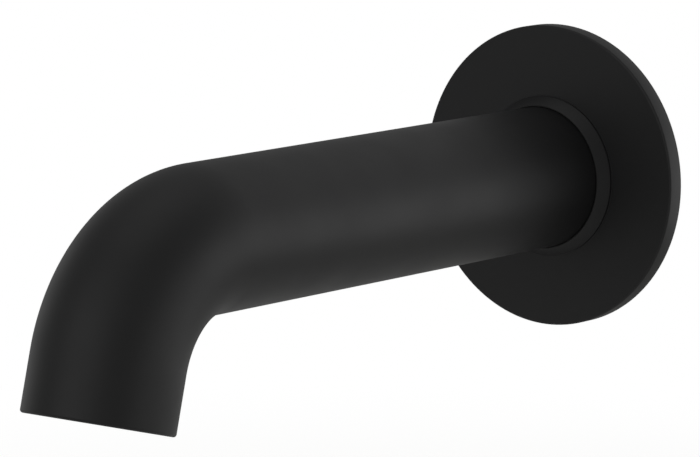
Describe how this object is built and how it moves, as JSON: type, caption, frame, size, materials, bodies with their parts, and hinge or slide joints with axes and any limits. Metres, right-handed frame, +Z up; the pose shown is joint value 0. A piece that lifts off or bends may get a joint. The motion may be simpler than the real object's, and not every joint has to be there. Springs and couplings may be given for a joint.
{
  "type": "bath spout",
  "caption": "Wall-mounted bath spout: a round tube with a turned-down nose, a round wall flange with a raised collar, a threaded inlet and an aerator in the mouth.",
  "frame": {"origin": "where the tube's axis meets the wall, at the centre of the flange's back face", "axes": "+Y into the wall, +Z up; the spout reaches out along -Y, its nose turns down, and it is the same on both sides of X = 0"},
  "size_m": [0.075, 0.1885, 0.0792],
  "materials": {
    "black_finish": "matt black over brass",
    "brass": "turned",
    "rubber": "moulded",
    "housing_plastic": "moulded dark grey acetal",
    "insert_plastic": "moulded pale grey acetal"
  },
  "bodies": {
    "root": {"spout_tube": "black_finish", "wall_flange": "black_finish", "flange_o_ring": "rubber", "inlet_bush": "brass", "outlet_bush": "brass", "aerator_housing": "housing_plastic", "flow_straightener": "insert_plastic", "jet_breaker": "insert_plastic", "strainer_cap": "insert_plastic", "aerator_washer": "rubber"}
  },
  "joints": []
}
